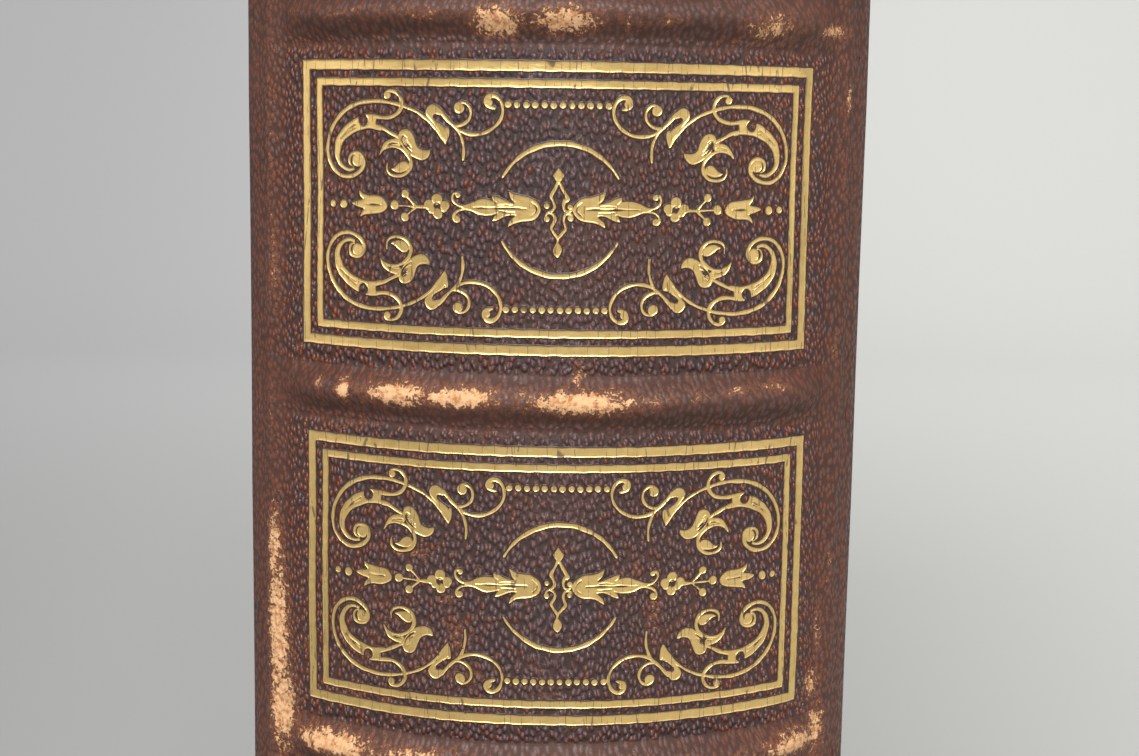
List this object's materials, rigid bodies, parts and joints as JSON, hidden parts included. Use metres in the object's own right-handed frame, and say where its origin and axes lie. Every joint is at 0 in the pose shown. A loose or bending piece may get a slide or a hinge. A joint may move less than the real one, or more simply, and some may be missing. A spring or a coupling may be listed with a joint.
{
  "type": "antique leather book",
  "caption": "Thick upright book in worn brown grained leather, with raised bands and gilt panels on a rounded spine, and covers that swing open.",
  "frame": {"origin": "centre of the footprint, on the surface that the tail edges stand on", "axes": "+Z from tail to head, +Y from spine to fore edge, +X towards the front cover"},
  "size_m": [0.0704, 0.17, 0.245],
  "materials": {
    "leather": "worn grained",
    "gilt": "aged gold leaf",
    "leaves": "aged",
    "endpaper": "aged",
    "board": "plain",
    "mull": "open weave",
    "silk": "wound silk",
    "cord": "hemp"
  },
  "bodies": {
    "block": {"text_block": "leaves", "spine_lining": "mull", "spine_inlay": "board", "spine_leather": "leather", "headband_head": "silk", "headband_tail": "silk", "raised_band_1": "board", "raised_band_2": "board", "raised_band_3": "board", "raised_band_4": "board", "raised_band_5": "board", "sewing_cord_1": "cord", "sewing_cord_2": "cord", "sewing_cord_3": "cord", "sewing_cord_4": "cord", "front_flyleaf": "endpaper", "back_flyleaf": "endpaper"},
    "front_cover": {"front_board": "board", "front_cover_leather": "leather", "front_pastedown": "endpaper"},
    "back_cover": {"back_board": "board", "back_cover_leather": "leather", "back_pastedown": "endpaper"}
  },
  "joints": [
    {"name": "front_cover_hinge", "type": "hinge", "parent": "block", "child": "front_cover", "pos_m": [0.0349, -0.0656, 0.1225], "axis": [0, 0, -1], "range_deg": [0, 178]},
    {"name": "back_cover_hinge", "type": "hinge", "parent": "block", "child": "back_cover", "pos_m": [-0.0349, -0.0656, 0.1225], "axis": [0, 0, 1], "range_deg": [0, 178]}
  ]
}
